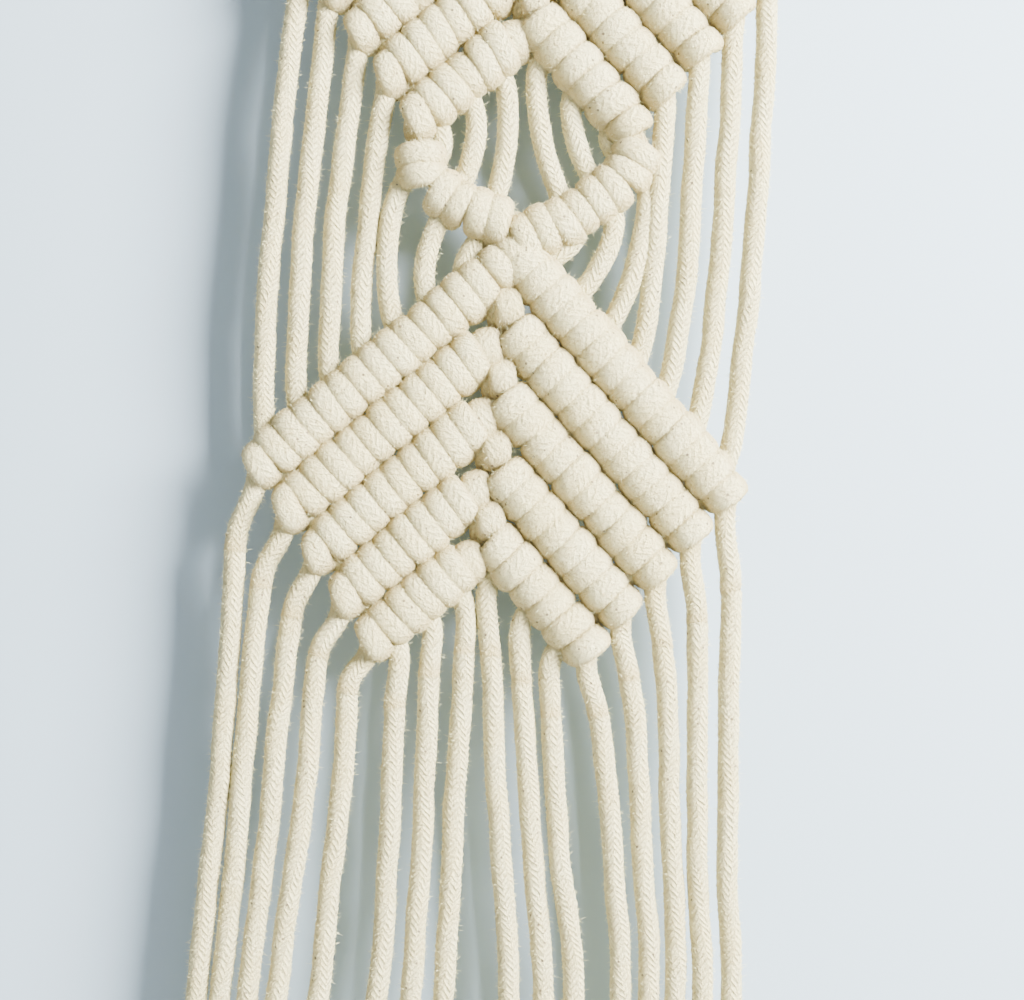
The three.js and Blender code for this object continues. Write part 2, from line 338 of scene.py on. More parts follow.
class HangingPlan:
    """Works out the route of every strand, knot by knot, from the dowel to its last knot."""

    def __init__(self, cord_radius):
        self.cord_radius = cord_radius
        self.rng = np.random.default_rng(7)
        self.routes = [[] for _ in range(STRAND_COUNT)]
        left = list(range(HALF))
        right = list(range(HALF, STRAND_COUNT))
        for top in (UPPER_POINT, LOWER_POINT):
            for row, knots in enumerate(ROW_KNOTS):
                point = in_plane(0, top - row * ROW_PITCH)
                stagger = ROW_STAGGER * (row % 2 - 0.5)
                left, right = self.tie_row(left, right, point, knots, -1 if row == 0 else 1, stagger)
            if top == UPPER_POINT:
                left, right = self.tie_diamond(left, right)
        self.fringe_order = left + right

    def tie(self, strand, centre, along, shape):
        self.routes[strand].append(hitch(centre, along, shape, self.cord_radius, self.rng))

    def crossing(self, point, side):
        """Where the middle strands cross: the knot's place, direction and shape."""
        if side == 1:
            return point, row_direction(-1, ROW_SLOPE), HitchShape(DIAMOND_HEIGHT, KNOT_LENGTH)
        shape = HitchShape(CROSSING_HEIGHT, CROSSING_LENGTH, fullness=1.6, drops=CROSSING_DROPS)
        return point + in_plane(CROSSING_SHIFT, 0), row_direction(-1, CROSSING_SLOPE), shape

    def tie_row(self, left, right, point, knots, crossing_side, stagger):
        """One row of a chevron: the middle strands cross and run out, and the others tie onto them."""
        leads = {-1: right[0], 1: left[-1]}
        knotters = {-1: left[-2::-1], 1: right[1:]}
        for side in (-1, 1):
            along = row_direction(side, ROW_SLOPE)
            origin = point + ROW_OFFSET[side]
            start = -KNOT_LENGTH / 2 - 1
            if side != crossing_side:
                self.tie(leads[side], *self.crossing(point, side))
                start = CROSSING_HEIGHT / 2 - 1
            nearest = KNOT_LENGTH + stagger + ROW_START[side]
            farthest = knots * KNOT_LENGTH + MIDDLE_SHIFT
            pitch = (farthest - nearest) / (knots - 1)
            row_end = origin + along * (farthest + ROW_OVERRUN)
            self.routes[leads[side]].append(carried(origin + along * start, row_end))
            self.routes[leads[side]].append(turned_down(row_end, along, self.cord_radius))
            for j in range(knots):
                last_turn = LAST_WRAP_TURN[side] if j == knots - 1 else None
                centre = origin + along * (nearest + j * pitch)
                shape = HitchShape(KNOT_HEIGHT, pitch, FULLNESS[side], last_turn)
                self.tie(knotters[side][j], centre, along, shape)
        keep = HALF - 1 - knots
        return (
            left[:keep] + [leads[-1]] + left[keep:-1],
            right[1:knots + 1] + [leads[1]] + right[knots + 1:],
        )

    def tie_diamond(self, left, right):
        """The diamond's lower sides: the last row's leads turn back, run down to the middle and cross."""
        keep = HALF - 1 - DIAMOND_KNOTS
        left_lead, right_lead = left[keep], right[DIAMOND_KNOTS]
        self.tie_diamond_side(left_lead, left[:keep:-1], DIAMOND_LEFT, 1)
        self.tie_diamond_side(right_lead, right[:DIAMOND_KNOTS], DIAMOND_RIGHT, -1)
        crossing = in_plane(DIAMOND_CROSSING[0], LOWER_POINT + DIAMOND_CROSSING[1])
        shape = HitchShape(DIAMOND_HEIGHT, DIAMOND_PITCH)
        self.tie(left_lead, crossing, row_direction(-1, DIAMOND_SLOPE), shape)
        return (
            left[:keep] + left[keep + 1:] + [right_lead],
            [left_lead] + right[:DIAMOND_KNOTS] + right[DIAMOND_KNOTS + 1:],
        )

    def tie_diamond_side(self, lead, knotters, knots, inwards):
        """One lower side of the diamond: its lead runs through its knots towards the middle."""
        centres = [in_plane(x, LOWER_POINT + rise) for x, rise, _ in knots]
        slopes = [math.radians(slope) for _, _, slope in knots]
        directions = [in_plane(math.cos(a) * inwards, -math.sin(a)) for a in slopes]
        outer = centres[-1] - directions[-1] * DIAMOND_OVERRUN
        run = np.array([outer] + centres[::-1])
        t = np.linspace(0, len(run) - 1, 60)
        widths = CARRIED_RADIUS + CARRIED_SWELL * smooth(1 - t / 0.35)
        self.routes[lead].append(Stretch(curve_through(run, t), widths, widths, BACK, 1.0))
        for strand, centre, direction in zip(knotters, centres, directions):
            self.tie(strand, centre, direction, HitchShape(DIAMOND_HEIGHT, DIAMOND_PITCH))


def dowel_loop(cord, cord_radius):
    """A lark's head: both legs go over the dowel, and the fold crosses in front of them."""
    middle = (2 * cord - HALF + 1) * SLOT_PITCH
    over, bar = DOWEL_RADIUS + cord_radius, DOWEL_RADIUS + 2.8 * cord_radius
    # sideways place, angle round the dowel from its underside towards the front, distance from its axis
    half = np.array([
        (0.0, 52, bar), (2.0, 52, bar), (3.9, 48, bar - 0.5), (5.3, 36, bar - 2.2),
        (5.9, 18, over + 0.9), (5.7, -8, over), (5.2, -50, over), (4.7, -95, over),
        (4.0, -140, over), (3.4, -180, over), (2.9, -220, over), (2.7, -262, over),
        (2.8, -290, over + 0.3),
    ])
    mirrored = half[:0:-1] * (-1, 1, 1)
    keys = np.concatenate([mirrored, half])
    t = np.linspace(0, len(keys) - 1, 12 * len(keys))
    sideways, turn, reach = curve_through(keys, t).T
    angle = np.radians(turn)
    radial = np.stack([np.zeros_like(angle), -np.sin(angle), -np.cos(angle)], 1)
    points = radial * reach[:, None]
    points[:, 0] = middle + sideways
    return Stretch(points, cord_radius, 0.94 * cord_radius, -radial, 0.4)


def curve_through(keys, t):
    """A smooth curve through rows of values, at places t counted in rows."""
    padded = np.concatenate([[2 * keys[0] - keys[1]], keys, [2 * keys[-1] - keys[-2]]])
    i = np.clip(t.astype(int), 0, len(keys) - 2)
    f = (t - i)[:, None]
    a, b, c, d = (padded[i + k] for k in range(4))
    bend = (2 * a - 5 * b + 4 * c - d) * f ** 2
    twist = (3 * b - a - 3 * c + d) * f ** 3
    return 0.5 * (2 * b + (c - a) * f + bend + twist)


def leg_start(strand, cord_radius):
    """A strand's first free point below its loop."""
    x = (strand - HALF + 0.5) * SLOT_PITCH
    top = np.array([x, -2.2 * cord_radius, -DOWEL_RADIUS - 5.0])
    drop = np.linspace(0, 1.5, 4)[:, None]
    return Stretch(top + DOWN * drop, cord_radius, cord_radius, BACK, 0.0)


def linked(stretches, cord_radius):
    """Joins stretches end to end, with an eased stretch in each gap."""
    line = [stretches[0]]
    for stretch in stretches[1:]:
        link = eased(line[-1], stretch, cord_radius)
        line += [link, stretch] if link else [stretch]
    return line


def whole_cord(plan, cord):
    """One folded cord, from its left strand's last knot, over the dowel, to its right strand's."""
    r = plan.cord_radius
    left, right = ([leg_start(s, r)] + plan.routes[s] for s in (2 * cord, 2 * cord + 1))
    down_left = [turned_round(s) for s in left[::-1]]
    return join_stretches(linked(down_left + [dowel_loop(cord, r)] + right, r))


def fringe_line(plan, place):
    """One strand's free end, from inside its last knot to its cut end."""
    r = plan.cord_radius
    last = plan.routes[plan.fringe_order[place]][-1]
    tail = 6
    root = Stretch(last.points[-tail:], last.wide[-tail:], last.thick[-tail:], BACK, 0.6)
    stops = np.reshape(FRINGE_ROUTES[place], (-1, 2))
    route = np.array([in_plane(x, LOWER_POINT - depth) for x, depth in stops])
    points = curve_through(route, np.linspace(0, len(route) - 1, 260))
    return join_stretches(linked([root, Stretch(points, r, r, BACK, 0.0)], r))


# --- cord meshes


def gentle_noise(rng, distance, wavelength, octaves=3):
    """A smooth wandering value about zero along a distance."""
    value = np.zeros(len(distance))
    for octave in range(octaves):
        step = wavelength / 1.7 ** octave
        phase, slant = rng.uniform(0, 2 * math.pi, 2)
        value += np.sin(2 * math.pi * distance / step + phase) / 1.5 ** octave
        value += 0.6 * np.sin(3.7 * distance / step + slant) / 1.5 ** octave
    return value / 2.5


def resampled(line, step):
    """The line at even steps."""
    gaps = np.linalg.norm(np.diff(line.points, axis=0), axis=1)
    kept = np.concatenate([[True], gaps > 1e-6])
    distance = np.concatenate([[0], np.cumsum(gaps)])[kept]
    even = np.linspace(0, distance[-1], max(4, int(distance[-1] / step)))

    def along(values):
        values = values[kept]
        if values.ndim == 1:
            return np.interp(even, distance, values)
        return np.stack([np.interp(even, distance, values[:, k]) for k in range(3)], 1)

    return Stretch(*(along(getattr(line, name)) for name in Stretch.values)), even


def softened(values, width):
    """A moving average that keeps the ends."""
    kernel = np.hanning(width + 2)[1:-1]
    kernel /= kernel.sum()
    half = width // 2
    if values.ndim == 1:
        padded = np.concatenate([np.full(half, values[0]), values, np.full(half, values[-1])])
        return np.convolve(padded, kernel, "valid")
    return np.apply_along_axis(softened, 0, values, width)


def bend_limited(sizes, bend):
    """Half sizes of a cord, held below the radius of its bend so that its surface never crosses itself."""
    limit = 0.92 / np.maximum(np.abs(bend), 1e-3)
    return softened(np.maximum(np.minimum(sizes, limit), 0.5), 5)


def braid_relief(around, distance, columns, pitch):
    """The height of a plaited sleeve, 0 to 1: slanting strokes in columns, leaning alternately."""
    lean = np.abs((around * columns) % 2 - 1)
    stroke = (distance / pitch + BRAID_LEAN * lean) % 1
    ridge = np.sin(math.pi * stroke) ** 0.8
    column = np.abs(np.sin(math.pi * around * columns)) ** 0.6
    return 0.35 + 0.65 * ridge * (0.45 + 0.55 * column)


def cord_course(line, distance, rng):
    """The centres of a cord's rings, swaying where it hangs free, and its directions there."""
    points = softened(line.points, 5)
    points[[0, -1]] = line.points[[0, -1]]
    sway = np.stack([gentle_noise(rng, distance, 46) for _ in range(3)], 1) * (1, 1, 0)
    points = points + sway * (FREE_SWAY * (1 - line.tight))[:, None]
    tangent = unit(np.gradient(points, axis=0))
    normal = softened(line.normals, 9)
    normal = unit(normal - (normal * tangent).sum(1, keepdims=True) * tangent)
    return points, tangent, normal, np.cross(tangent, normal)


def seam_shade(rings, tight, cos):
    """Painted shade where wraps meet, 0 to 1: on their flanks, and deep between them."""
    side_on = smooth((np.abs(cos)[None, :] - 0.62) / 0.3)
    height = np.where(rings[:, :, 1] < 0, -rings[:, :, 1], rings[:, :, 1] + BACK_LOWER)
    return tight[:, None] * np.maximum(side_on, smooth((SEAM_SHADE_DEPTH - height) / 2.4))


def cord_surface(line, distance, settings, rng):
    """The rings of vertices round a cord, and what the fibres and material need to know of them."""
    points, tangent, normal, across = cord_course(line, distance, rng)
    around = np.arange(settings.sides) / settings.sides
    cos, sin = np.cos(2 * math.pi * around), np.sin(2 * math.pi * around)
    swell = 1 + 0.035 * gentle_noise(rng, distance, 17)
    bend = np.gradient(tangent, axis=0) / settings.step
    wide = (bend_limited(line.wide, (bend * across).sum(1)) * swell)[:, None]
    thick = (bend_limited(line.thick, (bend * normal).sum(1)) * swell)[:, None]
    twist = 0.35 * gentle_noise(rng, distance, 90, 1)
    relief = braid_relief(
        around[None, :] + twist[:, None], distance[:, None], settings.braid_columns, settings.braid_pitch)
    depth = settings.braid_depth * (1 - 0.55 * line.tight)[:, None]
    lumps = rng.normal(0, settings.lumps, relief.shape)
    squarish = 1 + 0.05 * line.tight[:, None] * np.sin(4 * math.pi * around)[None, :] ** 2
    scale = (1 + ((relief - 1) * depth + lumps) / np.maximum(thick, 0.5)) * squarish
    across, towards = across[:, None], normal[:, None]
    rings = (
        points[:, None] + across * (wide * scale * cos)[..., None]
        + towards * (thick * scale * sin)[..., None]
    )
    return {
        "rings": rings, "points": points, "tangent": tangent, "distance": distance, "twist": twist,
        "outward": unit(across * (cos / wide)[..., None] + towards * (sin / thick)[..., None]),
        # painted shade where wraps meet, for the material
        "seam": seam_shade(rings, line.tight, cos), "tight": line.tight,
    }


def tube_faces(count, sides):
    """Quads between the rings of a tube."""
    i, j = np.meshgrid(np.arange(count - 1), np.arange(sides), indexing="ij")
    k = (j + 1) % sides
    near, far = i * sides, (i + 1) * sides
    return np.stack([near + j, near + k, far + k, far + j], -1).reshape(-1, 4)


def feet_round(directions):
    """Three unit vectors round each direction, at right angles to it."""
    side = unit(np.cross(directions, (0.31, 0.52, 0.79)))[:, None]
    other = unit(np.cross(directions[:, None], side))
    angle = (2 * math.pi * np.arange(3) / 3)[:, None]
    return side * np.cos(angle) + other * np.sin(angle)


def many(vertices, triangles):
    """Copies of one small shape, as one set of vertices and triangles."""
    count, size = vertices.shape[:2]
    starts = size * np.arange(count)[:, None, None]
    return vertices.reshape(-1, 3), (starts + np.array(triangles)[None]).reshape(-1, 3)


def fibres(roots, directions, curls, lengths, radius):
    """Fine tapering fibres as closed three-sided tubes: their vertices and triangles."""
    t = np.array([0.0, 0.5, 1.0])[:, None]
    spine = roots[:, None] + (directions[:, None] * t + curls[:, None] * t ** 2) * lengths[:, None, None]
    taper = radius * np.array([1.0, 0.8, 0.3])
    vertices = spine[:, :, None] + feet_round(directions)[:, None] * taper[None, :, None, None]
    triangles = [(0, 2, 1), (6, 7, 8)]
    for level in (0, 3):
        for j in range(3):
            a, b = level + j, level + (j + 1) % 3
            triangles += [(a, b, b + 3), (a, b + 3, a + 3)]
    return many(vertices.reshape(-1, 9, 3), triangles)


def fuzz(surface, per_mm, rng):
    """Short loose fibres standing off a cord, as closed spikes: their vertices and triangles."""
    count = int(surface["distance"][-1] * per_mm)
    rows = rng.integers(0, len(surface["distance"]), count)
    columns = rng.integers(0, surface["rings"].shape[1], count)
    outward = surface["outward"][rows, columns]
    roots = surface["rings"][rows, columns] - outward * 0.1
    lean = surface["tangent"][rows] * rng.normal(0, 0.8, (count, 1))
    rise = outward * rng.uniform(0.35, 1.0, (count, 1))
    directions = unit(rise + lean + rng.normal(0, 0.25, (count, 3)))
    lengths = np.clip(rng.lognormal(-0.25, 0.42, (count, 1)), 0.3, LONGEST_FUZZ)
    feet = roots[:, None] + feet_round(directions) * FUZZ_RADIUS
    tips = roots + directions * lengths
    return many(np.concatenate([feet, tips[:, None]], 1), [(0, 2, 1), (0, 1, 3), (1, 2, 3), (2, 0, 3)])


def frayed_mesh(name, surface, rng):
    """The loosened fibres of a cut end, as a mesh."""
    end, tangent = surface["points"][-1], surface["tangent"][-1]
    spread = unit(rng.normal(0, 1, (FRAYED_COUNT, 3)) * (1, 1, 0.1))
    reach = 2.3 * np.sqrt(rng.uniform(0, 1, (FRAYED_COUNT, 1)))
    roots = end - tangent * rng.uniform(0.5, 3.0, (FRAYED_COUNT, 1)) + spread * reach
    directions = unit(tangent + spread * reach * 0.10 + rng.normal(0, 0.07, (FRAYED_COUNT, 3)))
    curls = rng.normal(0, 0.10, (FRAYED_COUNT, 3))
    lengths = rng.uniform(4.5, 9.0, FRAYED_COUNT)
    vertices, triangles = fibres(roots, directions, curls, lengths, FRAYED_RADIUS)
    return mesh_from(name, vertices * MM, np.empty((0, 4), int), triangles)


def cord_mesh(name, line, settings, rng):
    """A whole cord: its plaited surface with closed ends, and its fuzz."""
    even_line, distance = resampled(line, settings.step)
    surface = cord_surface(even_line, distance, settings, rng)
    count, sides = surface["rings"].shape[:2]
    body = surface["rings"].reshape(-1, 3)
    ends = np.stack([surface["points"][0], surface["points"][-1]])
    quads = tube_faces(count, sides)
    caps = end_caps(count, sides)
    hair_vertices, hair_triangles = fuzz(surface, settings.fuzz_per_mm, rng)
    vertices = np.concatenate([body, ends, hair_vertices]) * MM
    triangles = np.concatenate([caps, hair_triangles + len(body) + 2])
    mesh = mesh_from(name, vertices, quads, triangles)
    materials = np.zeros(len(quads) + len(triangles), int)
    materials[-len(hair_triangles):] = 1
    mesh.polygons.foreach_set("material_index", materials)
    write_run(mesh, quads, sides, surface)
    # Painted shade where wraps meet, a value for each vertex
    write_values(mesh, "seam", surface["seam"].ravel())
    write_values(mesh, "tight", np.repeat(surface["tight"], sides))
    return mesh, surface


def end_caps(count, sides):
    """Triangles that close both ends of a tube, round two vertices that follow its rings."""
    j = np.arange(sides)
    k = (j + 1) % sides
    base = (count - 1) * sides
    return np.concatenate([
        np.stack([np.full(sides, count * sides), k, j], 1),
        np.stack([np.full(sides, count * sides + 1), base + j, base + k], 1),
    ])


def mesh_from(name, vertices, quads, triangles):
    """A mesh of quads and then triangles, shaded smooth."""
    mesh = bpy.data.meshes.new(name)
    mesh.vertices.add(len(vertices))
    mesh.vertices.foreach_set("co", vertices.ravel())
    corners = np.concatenate([quads.ravel(), triangles.ravel()])
    sizes = np.concatenate([np.full(len(quads), 4), np.full(len(triangles), 3)])
    mesh.loops.add(len(corners))
    mesh.loops.foreach_set("vertex_index", corners)
    mesh.polygons.add(len(sizes))
    mesh.polygons.foreach_set("loop_start", np.concatenate([[0], np.cumsum(sizes)[:-1]]))
    mesh.polygons.foreach_set("use_smooth", np.ones(len(sizes), bool))
    mesh.update(calc_edges=True)
    return mesh


def write_run(mesh, quads, sides, surface):
    """A map whose U is the turn round the cord and whose V is the length along it, in decimetres."""
    layer = mesh.uv_layers.new(name="cord_run")
    run = np.zeros((len(mesh.loops), 2))
    i, j = np.divmod(np.arange(len(quads)), sides)
    turn = surface["twist"]
    lengthwise = surface["distance"] / 100
    corner_rows = np.stack([i, i, i + 1, i + 1], 1)
    corner_turns = np.stack([j, j + 1, j + 1, j], 1) / sides + turn[corner_rows]
    run[:4 * len(quads), 0] = corner_turns.ravel()
    run[:4 * len(quads), 1] = lengthwise[corner_rows].ravel()
    layer.data.foreach_set("uv", run.ravel())


def write_values(mesh, name, values):
    """A value for each vertex of the cord, zero on its fibres."""
    full = np.zeros(len(mesh.vertices))
    full[:len(values)] = values
    mesh.attributes.new(name, "FLOAT", "POINT").data.foreach_set("value", full)


# --- materials


class Nodes:
    """Small helpers for building a node tree. A socket is given a value, or another socket to link."""

    def __init__(self, tree):
        self.tree = tree

    def feed(self, inputs, values):
        """Gives sockets, by name or number, their values or links."""
        for name, value in values.items():
            if isinstance(value, bpy.types.NodeSocket):
                self.tree.links.new(value, inputs[name])
            else:
                inputs[name].default_value = value

    def add(self, kind, sockets, **options):
        """A new node's outputs."""
        node = self.tree.nodes.new(kind)
        for name, value in options.items():
            setattr(node, name, value)
        self.feed(node.inputs, sockets)
        return node.outputs

    def math(self, operation, *values):
        return self.add("ShaderNodeMath", dict(enumerate(values)), operation=operation)[0]

    def times(self, a, b):
        return self.math("MULTIPLY", a, b)

    def plus(self, a, b):
        return self.math("ADD", a, b)

    def arch(self, value):
        """A row of rounded arches, one for each whole number, 0 to 1."""
        return self.math("ABSOLUTE", self.math("SINE", self.times(value, math.pi)))

    def vector(self, x, y, z=0.0):
        return self.add("ShaderNodeCombineXYZ", {"X": x, "Y": y, "Z": z})[0]

    def place(self):
        """The surface's own coordinates, in metres."""
        return self.add("ShaderNodeTexCoord", {})["Object"]

    def stretched(self, vector, scale):
        return self.add("ShaderNodeMapping", {"Vector": vector, "Scale": scale})[0]

    def noise(self, vector, scale, detail=2.0, roughness=0.5):
        sockets = {"Vector": vector, "Scale": scale, "Detail": detail, "Roughness": roughness}
        return self.add("ShaderNodeTexNoise", sockets)["Fac"]

    def ranged(self, *values):
        """A value taken from one range (low, high) to another, which is 0 to 1 if not given."""
        return self.add("ShaderNodeMapRange", dict(enumerate(values)))[0]

    def mixed(self, factor, a, b):
        return self.add("ShaderNodeMix", {0: factor, 6: a, 7: b}, data_type="RGBA")[2]

    def attribute(self, name):
        return self.add("ShaderNodeAttribute", {}, attribute_name=name)["Fac"]

    def bump(self, height, strength, distance):
        sockets = {"Height": height, "Strength": strength, "Distance": distance}
        return self.add("ShaderNodeBump", sockets)[0]

    def group(self, tree, **values):
        return self.add("ShaderNodeGroup", values, node_tree=tree)


def node_group(name, inputs, outputs):
    """An empty shader group with float inputs (name, default) and float outputs (name)."""
    tree = bpy.data.node_groups.new(name, "ShaderNodeTree")
    for label, default in inputs:
        socket = tree.interface.new_socket(name=label, in_out="INPUT", socket_type="NodeSocketFloat")
        socket.default_value = default
    for label in outputs:
        tree.interface.new_socket(name=label, in_out="OUTPUT", socket_type="NodeSocketFloat")
    nodes = Nodes(tree)
    return tree, nodes, nodes.add("NodeGroupInput", {}), tree.nodes.new("NodeGroupOutput").inputs


def plaited_sleeve_group():
    """The strokes of a plaited sleeve along a cord's own run, and painted shade in its grooves."""
    tree, nodes, given, out = node_group(
        "plaited_sleeve", (("Columns", 8.0), ("Pitch", 2.0), ("Tight", 0.0)), ("Height", "Groove", "Streak"))
    run = nodes.add("ShaderNodeUVMap", {}, uv_map="cord_run")[0]
    turn, decimetres, _ = nodes.add("ShaderNodeSeparateXYZ", {0: run})
    place = nodes.place()
    wander = nodes.math("SUBTRACT", nodes.noise(place, 420.0), 0.5)
    length = nodes.plus(nodes.times(decimetres, 100.0), nodes.times(wander, 1.3))
    column = nodes.times(turn, given["Columns"])
    lean = nodes.math("PINGPONG", column, 1.0)
    stroke = nodes.plus(nodes.math("DIVIDE", length, given["Pitch"]), nodes.times(lean, BRAID_LEAN))
    ridge = nodes.math("POWER", nodes.arch(stroke), 0.7)
    wall = nodes.math("POWER", nodes.arch(column), 0.5)
    plait = nodes.times(ridge, nodes.plus(nodes.times(wall, 0.5), 0.5))
    yarn = nodes.vector(nodes.times(turn, 40.0), nodes.times(length, 1.1))
    threads = nodes.times(nodes.noise(yarn, 1.0, 3.0, 0.6), 0.9)
    lint = nodes.times(nodes.noise(place, 1500.0, 4.0, 0.7), 2.4)
    # Painted shade in the grooves between strokes: patchy, and weaker in tight wraps
    keep = nodes.math("SUBTRACT", 1.0, nodes.times(given["Tight"], 0.45))
    groove_shade_strength = nodes.ranged(nodes.noise(place, 260.0), 0.35, 0.65, 0.35, 1.0)
    groove_shade = nodes.math("POWER", nodes.math("SUBTRACT", 1.0, plait), 1.6)
    fine = nodes.vector(nodes.times(turn, 26.0), nodes.times(length, 0.8), 3.0)
    nodes.feed(out, {
        "Height": nodes.plus(nodes.plus(nodes.times(plait, keep), threads), lint),
        "Groove": nodes.times(nodes.times(groove_shade, groove_shade_strength), keep),
        "Streak": nodes.ranged(nodes.noise(fine, 1.6), 0.58, 0.68),
    })
    return tree


def seed_fleck_group():
    """Sparse dark specks of seed husk, as a mask."""
    tree, nodes, given, out = node_group(
        "seed_flecks", (("Scale", 520.0), ("Size", 0.16), ("Share", 0.2)), ("Mask",))
    cells = nodes.add("ShaderNodeTexVoronoi", {"Vector": nodes.place(), "Scale": given["Scale"]})
    chosen = nodes.add("ShaderNodeSeparateColor", {0: cells["Color"]})[0]
    spot = nodes.math("LESS_THAN", cells["Distance"], given["Size"])
    kept = nodes.math("LESS_THAN", chosen, given["Share"])
    nodes.feed(out, {"Mask": nodes.times(spot, kept)})
    return tree


def new_material(name):
    """A material, its nodes, and its Principled BSDF's sockets."""
    material = bpy.data.materials.new(name)
    material.use_nodes = True
    return material, Nodes(material.node_tree), material.node_tree.nodes["Principled BSDF"].inputs


def tinted(colour, *factors):
    """A colour with its channels scaled, as a socket takes it."""
    return tuple(min(1.0, c * f) for c, f in zip(colour, factors or (1, 1, 1))) + (1,)


def cotton_material(settings, sleeve, flecks):
    """Cream braided cotton: plaited relief, slight unevenness, painted warm shade in its grooves and where
    wraps meet, darker fibre streaks and specks, and seed flecks.
    """
    material, nodes, shader = new_material("cream_cotton")
    columns, tight = float(settings.braid_columns), nodes.attribute("tight")
    plait = nodes.group(sleeve, Columns=columns, Pitch=settings.braid_pitch, Tight=tight)
    place = nodes.place()
    patches = nodes.ranged(nodes.noise(place, 110.0, 3.0), 0.35, 0.7)
    tone = nodes.mixed(patches, tinted(settings.colour), tinted(settings.colour, 0.97, 0.93, 0.84))
    # One darker brown: painted shade in the braid's grooves and where wraps meet, and the colour of fine
    # darker streaks and specks
    painted_shade_and_streak_tone = tinted(settings.colour, 0.62, 0.52, 0.38)
    groove_shade, streak = nodes.times(plait["Groove"], 0.5), nodes.times(plait["Streak"], 0.6)
    speckle = nodes.ranged(nodes.noise(place, 1700.0, 3.0), 0.54, 0.7, 0.0, 0.5)
    # Painted shade where wraps meet
    seam = nodes.times(nodes.attribute("seam"), 0.68)
    # Darkens the tone towards it by painted groove shade, specks, streaks and painted shade where wraps meet
    for mask in (groove_shade, speckle, streak, seam):
        tone = nodes.mixed(mask, tone, painted_shade_and_streak_tone)
    husks = nodes.times(nodes.group(flecks)["Mask"], 0.8)
    nodes.feed(shader, {
        "Base Color": nodes.mixed(husks, tone, HUSK_BROWN),
        "Normal": nodes.bump(plait["Height"], 1.0, 0.0007),
        "Roughness": 0.92, "Specular IOR Level": 0.18, "Sheen Weight": 0.12, "Sheen Roughness": 0.5,
    })
    return material


def fibre_material(settings, flecks):
    """The loose fibres, painted a little lighter than the cord for the light that passes through them."""
    material, nodes, shader = new_material("cotton_fibre")
    husks = nodes.times(nodes.group(flecks, Scale=300.0, Size=0.2, Share=0.05)["Mask"], 0.5)
    # Painted light: a lighter copy of the cotton colour, standing in for light that passes through thin
    # fibres
    light = tinted(settings.colour, 1.06, 1.06, 1.06)
    nodes.feed(shader, {
        "Base Color": nodes.mixed(husks, light, FIBRE_BROWN),
        "Roughness": 0.8, "Specular IOR Level": 0.2, "Sheen Weight": 0.2,
    })
    return material


def wood_material(settings):
    """Pale sanded wood with its grain along the dowel."""
    material, nodes, shader = new_material("dowel_wood")
    place = nodes.place()
    grain = nodes.noise(nodes.stretched(place, (12.0, 260.0, 260.0)), 1.0, 5.0, 0.6)
    rings = nodes.add("ShaderNodeTexWave", {
        "Vector": nodes.stretched(place, (0.12, 1.0, 1.0)), "Scale": 60.0, "Distortion": 7.0, "Detail": 2.0,
    }, bands_direction="Y")["Fac"]
    dark = tinted(settings.colour, 0.62, 0.52, 0.42)
    tone = nodes.mixed(nodes.ranged(grain, 0.35, 0.75, 0.0, 0.7), tinted(settings.colour), dark)
    nodes.feed(shader, {
        "Base Color": nodes.mixed(nodes.times(rings, 0.3), tone, dark),
        "Normal": nodes.bump(grain, 0.25, 0.0002),
        "Roughness": nodes.ranged(grain, 0.3, 0.7, 0.5, 0.66),
    })
    return material


def wall_material(settings):
    """Matt board that nothing sees or is shaded by from behind, so the back of the hanging shows."""
    material, nodes, shader = new_material("matt_board")
    low = tinted(settings.wall_colour, 0.985, 0.985, 0.985)
    tone = nodes.mixed(nodes.noise(nodes.place(), 9.0), low, tinted(settings.wall_colour))
    nodes.feed(shader, {"Base Color": tone, "Roughness": 0.85, "Specular IOR Level": 0.2})
    behind = nodes.add("ShaderNodeNewGeometry", {})["Backfacing"]
    shadow = nodes.add("ShaderNodeLightPath", {})["Is Shadow Ray"]
    surface = nodes.add("ShaderNodeMixShader", {
        0: nodes.math("MAXIMUM", behind, shadow),
        1: material.node_tree.nodes["Principled BSDF"].outputs[0],
        2: nodes.add("ShaderNodeBsdfTransparent", {})[0],
    })[0]
    nodes.feed(material.node_tree.nodes["Material Output"].inputs, {"Surface": surface})
    return material


def floor_material():
    material, nodes, shader = new_material("pale_floor")
    tone = nodes.mixed(nodes.noise(nodes.place(), 6.0), (0.74, 0.74, 0.73, 1), (0.78, 0.78, 0.77, 1))
    nodes.feed(shader, {"Base Color": tone, "Roughness": 0.9})
    return material


def cotton_materials(settings):
    """The cord's materials, made once."""
    if "cream_cotton" in bpy.data.materials:
        return bpy.data.materials["cream_cotton"], bpy.data.materials["cotton_fibre"]
    flecks = seed_fleck_group()
    return cotton_material(settings, plaited_sleeve_group(), flecks), fibre_material(settings, flecks)


# --- settings


